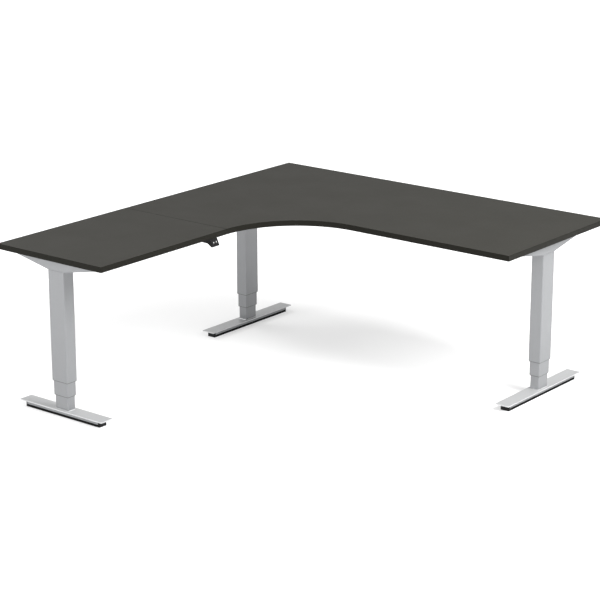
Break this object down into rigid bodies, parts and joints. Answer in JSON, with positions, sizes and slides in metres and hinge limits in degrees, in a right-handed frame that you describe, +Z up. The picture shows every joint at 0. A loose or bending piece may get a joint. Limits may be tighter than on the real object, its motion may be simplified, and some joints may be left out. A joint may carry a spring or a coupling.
{
  "type": "height adjustable corner desk",
  "caption": "L shaped sit and stand desk: two dark worktops with a curved inner corner on silver telescopic columns with flat feet, motor driven.",
  "frame": {"origin": "on the floor under the middle of the L's outer rectangle", "axes": "+X along the right wing, +Y to the back, +Z up"},
  "size_m": [1.82, 1.98, 0.73],
  "materials": {
    "laminate": "matt dark grey laminate",
    "edge_band": "matt dark plastic edge band",
    "silver_paint": "satin silver powder coat",
    "foot_paint": "satin silver powder coat, lighter on the feet",
    "black_plastic": "matt black moulded plastic",
    "glide_plastic": "dark grey low friction plastic",
    "button_plastic": "dark moulded plastic with a light printed arrow",
    "zinc_steel": "zinc plated steel",
    "motor_case": "black painted steel",
    "nut_bronze": "plain bronze"
  },
  "bodies": {
    "corner_base": {"inner_tube_corner": "silver_paint", "foot_plate_corner": "foot_paint", "foot_channel_corner": "foot_paint", "base_strip_corner": "black_plastic", "foot_end_caps_corner": "black_plastic", "lower_nut_corner": "nut_bronze"},
    "worktop": {"main_top": "laminate", "return_top": "laminate", "main_edge_band": "edge_band", "return_edge_band": "edge_band", "seam_plates": "zinc_steel", "support_arm_left": "silver_paint", "support_arm_corner": "silver_paint", "support_arm_right": "silver_paint", "wing_rails": "silver_paint", "return_rails": "silver_paint", "outer_tube_left": "silver_paint", "outer_tube_corner": "silver_paint", "outer_tube_right": "silver_paint", "outer_glides": "glide_plastic", "gear_housing_left": "zinc_steel", "gear_housing_corner": "zinc_steel", "gear_housing_right": "zinc_steel", "motor_left": "motor_case", "motor_corner": "motor_case", "motor_right": "motor_case", "control_box": "black_plastic", "power_inlet": "black_plastic", "handset_case": "black_plastic", "wood_screws": "zinc_steel", "frame_bolts": "zinc_steel"},
    "left_stage": {"middle_tube_left": "silver_paint", "middle_glide_left": "glide_plastic", "upper_nut_left": "nut_bronze"},
    "left_base": {"inner_tube_left": "silver_paint", "foot_plate_left": "foot_paint", "foot_channel_left": "foot_paint", "base_strip_left": "black_plastic", "foot_end_caps_left": "black_plastic", "lower_nut_left": "nut_bronze"},
    "left_upper_screw": {"upper_screw_left": "zinc_steel"},
    "left_lower_screw": {"lower_screw_left": "zinc_steel"},
    "corner_stage": {"middle_tube_corner": "silver_paint", "middle_glide_corner": "glide_plastic", "upper_nut_corner": "nut_bronze"},
    "corner_upper_screw": {"upper_screw_corner": "zinc_steel"},
    "corner_lower_screw": {"lower_screw_corner": "zinc_steel"},
    "right_stage": {"middle_tube_right": "silver_paint", "middle_glide_right": "glide_plastic", "upper_nut_right": "nut_bronze"},
    "right_base": {"inner_tube_right": "silver_paint", "foot_plate_right": "foot_paint", "foot_channel_right": "foot_paint", "base_strip_right": "black_plastic", "foot_end_caps_right": "black_plastic", "lower_nut_right": "nut_bronze"},
    "right_upper_screw": {"upper_screw_right": "zinc_steel"},
    "right_lower_screw": {"lower_screw_right": "zinc_steel"},
    "up_button": {"up_button": "button_plastic"},
    "down_button": {"down_button": "button_plastic"}
  },
  "joints": [
    {"name": "desk_lift", "type": "slide", "parent": "corner_base", "child": "worktop", "axis": [0, 0, 1], "range_m": [-0.11, 0.54]},
    {"name": "corner_stage_slide", "type": "slide", "parent": "corner_base", "child": "corner_stage", "axis": [0, 0, 1], "range_m": [-0.055, 0.27]},
    {"name": "left_stage_slide", "type": "slide", "parent": "worktop", "child": "left_stage", "axis": [0, 0, -1], "range_m": [-0.055, 0.27]},
    {"name": "left_base_slide", "type": "slide", "parent": "left_stage", "child": "left_base", "axis": [0, 0, -1], "range_m": [-0.055, 0.27]},
    {"name": "right_stage_slide", "type": "slide", "parent": "worktop", "child": "right_stage", "axis": [0, 0, -1], "range_m": [-0.055, 0.27]},
    {"name": "right_base_slide", "type": "slide", "parent": "right_stage", "child": "right_base", "axis": [0, 0, -1], "range_m": [-0.055, 0.27]},
    {"name": "left_upper_screw_spin", "type": "hinge", "parent": "worktop", "child": "left_upper_screw", "pos_m": [-0.605, -0.92, 0.6], "axis": [0, 0, 1], "range_deg": [-1982, 9722]},
    {"name": "left_lower_screw_spin", "type": "hinge", "parent": "left_stage", "child": "left_lower_screw", "pos_m": [-0.605, -0.92, 0.4], "axis": [0, 0, 1], "range_deg": [-1982, 9722]},
    {"name": "corner_upper_screw_spin", "type": "hinge", "parent": "worktop", "child": "corner_upper_screw", "pos_m": [-0.84, 0.577, 0.6], "axis": [0, 0, 1], "range_deg": [-1982, 9722]},
    {"name": "corner_lower_screw_spin", "type": "hinge", "parent": "corner_stage", "child": "corner_lower_screw", "pos_m": [-0.84, 0.577, 0.4], "axis": [0, 0, 1], "range_deg": [-1982, 9722]},
    {"name": "right_upper_screw_spin", "type": "hinge", "parent": "worktop", "child": "right_upper_screw", "pos_m": [0.84, 0.577, 0.6], "axis": [0, 0, 1], "range_deg": [-1982, 9722]},
    {"name": "right_lower_screw_spin", "type": "hinge", "parent": "right_stage", "child": "right_lower_screw", "pos_m": [0.84, 0.577, 0.4], "axis": [0, 0, 1], "range_deg": [-1982, 9722]},
    {"name": "up_button_press", "type": "slide", "parent": "worktop", "child": "up_button", "axis": [-0.9062, 0, -0.4229], "range_m": [0, 0.001], "stiffness_N_per_m": 600, "springref_m": -0.0015},
    {"name": "down_button_press", "type": "slide", "parent": "worktop", "child": "down_button", "axis": [-0.9062, 0, -0.4229], "range_m": [0, 0.001], "stiffness_N_per_m": 600, "springref_m": -0.0015}
  ],
  "couplings": [
    {"joint": "corner_stage_slide", "follows": "desk_lift", "ratio": 0.5},
    {"joint": "left_stage_slide", "follows": "desk_lift", "ratio": 0.5},
    {"joint": "left_base_slide", "follows": "desk_lift", "ratio": 0.5},
    {"joint": "right_stage_slide", "follows": "desk_lift", "ratio": 0.5},
    {"joint": "right_base_slide", "follows": "desk_lift", "ratio": 0.5},
    {"joint": "left_upper_screw_spin", "follows": "desk_lift", "rad_per_m": 314.16},
    {"joint": "left_lower_screw_spin", "follows": "desk_lift", "rad_per_m": 314.16},
    {"joint": "corner_upper_screw_spin", "follows": "desk_lift", "rad_per_m": 314.16},
    {"joint": "corner_lower_screw_spin", "follows": "desk_lift", "rad_per_m": 314.16},
    {"joint": "right_upper_screw_spin", "follows": "desk_lift", "rad_per_m": 314.16},
    {"joint": "right_lower_screw_spin", "follows": "desk_lift", "rad_per_m": 314.16}
  ]
}
